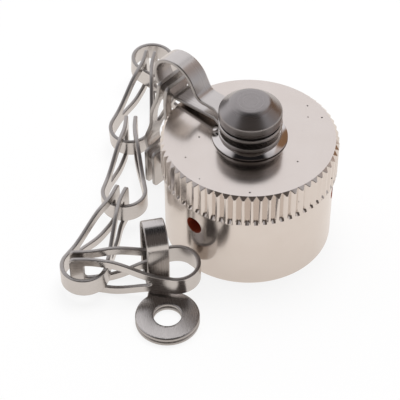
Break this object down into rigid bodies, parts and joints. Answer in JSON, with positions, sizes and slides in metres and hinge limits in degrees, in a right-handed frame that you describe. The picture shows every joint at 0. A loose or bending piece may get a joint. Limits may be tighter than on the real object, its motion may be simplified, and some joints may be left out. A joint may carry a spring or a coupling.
{
  "type": "connector dust cap with chain",
  "caption": "Round metal dust cap with a grooved grip and a riveted swivel, held by a chain of folded strip links that ends in a ring terminal.",
  "frame": {"origin": "middle of the footprint of cap and chain together, on the plane they lie on; the cap's axis stands at x 5.9 mm, y -4.55 mm", "axes": "+Z along the cap's axis towards the rivet head; +X to the right and +Y away as the picture sees the cap"},
  "size_m": [0.0325, 0.0482, 0.0202],
  "materials": {
    "nickel_plated_brass": "satin nickel plate with fine turning marks",
    "stainless_steel": "bright rolled strip",
    "bright_nickel": "bright plate",
    "silicone_rubber": "matt"
  },
  "bodies": {
    "cap": {"cap_body": "nickel_plated_brass", "gasket": "silicone_rubber", "collar_washer": "bright_nickel", "pivot_rivet": "nickel_plated_brass"},
    "swivel": {"swivel_link": "stainless_steel"},
    "link_1": {"chain_link_1": "stainless_steel"},
    "link_2": {"chain_link_2": "stainless_steel"},
    "link_3": {"chain_link_3": "stainless_steel"},
    "link_4": {"chain_link_4": "stainless_steel"},
    "link_5": {"chain_link_5": "stainless_steel"},
    "link_6": {"chain_link_6": "stainless_steel"},
    "link_7": {"chain_link_7": "stainless_steel"},
    "terminal": {"end_terminal": "stainless_steel"}
  },
  "joints": [
    {"name": "swivel_turn", "type": "hinge", "parent": "cap", "child": "swivel", "pos_m": [0.0059, -0.00455, 0.0152], "axis": [0, 0, 1], "continuous": true},
    {"name": "link_1_swing", "type": "hinge", "parent": "swivel", "child": "link_1", "pos_m": [-0.00245, 0.00284, 0.0174], "axis": [0.6626, 0.749, 0], "range_deg": [0, 60]},
    {"name": "link_2_tip", "type": "hinge", "parent": "link_1", "child": "link_2", "pos_m": [-0.00423, 0.00441, 0.00273], "axis": [-0.749, 0.6626, 0], "range_deg": [-25, 10]},
    {"name": "link_3_swing", "type": "hinge", "parent": "link_2", "child": "link_3", "pos_m": [0.00201, 0.01146, 0.00273], "axis": [0, 0, 1], "range_deg": [-60, 0]},
    {"name": "link_4_swing", "type": "hinge", "parent": "link_3", "child": "link_4", "pos_m": [-0.00617, 0.0212, 0.0042], "axis": [0, 0, 1], "range_deg": [-60, 0]},
    {"name": "link_5_swing", "type": "hinge", "parent": "link_4", "child": "link_5", "pos_m": [-0.00864, 0.00903, 0.00273], "axis": [0, 0, 1], "range_deg": [-45, 0]},
    {"name": "link_6_swing", "type": "hinge", "parent": "link_5", "child": "link_6", "pos_m": [-0.00915, -0.00292, 0.00273], "axis": [0, 0, 1], "range_deg": [-60, 0]},
    {"name": "link_7_swing", "type": "hinge", "parent": "link_6", "child": "link_7", "pos_m": [-0.01337, -0.01498, 0.00273], "axis": [0, 0, 1], "range_deg": [-90, 0]},
    {"name": "terminal_swing", "type": "hinge", "parent": "link_7", "child": "terminal", "pos_m": [-0.00539, -0.01274, 0.00273], "axis": [0, 0, 1], "range_deg": [-5, 20]}
  ]
}
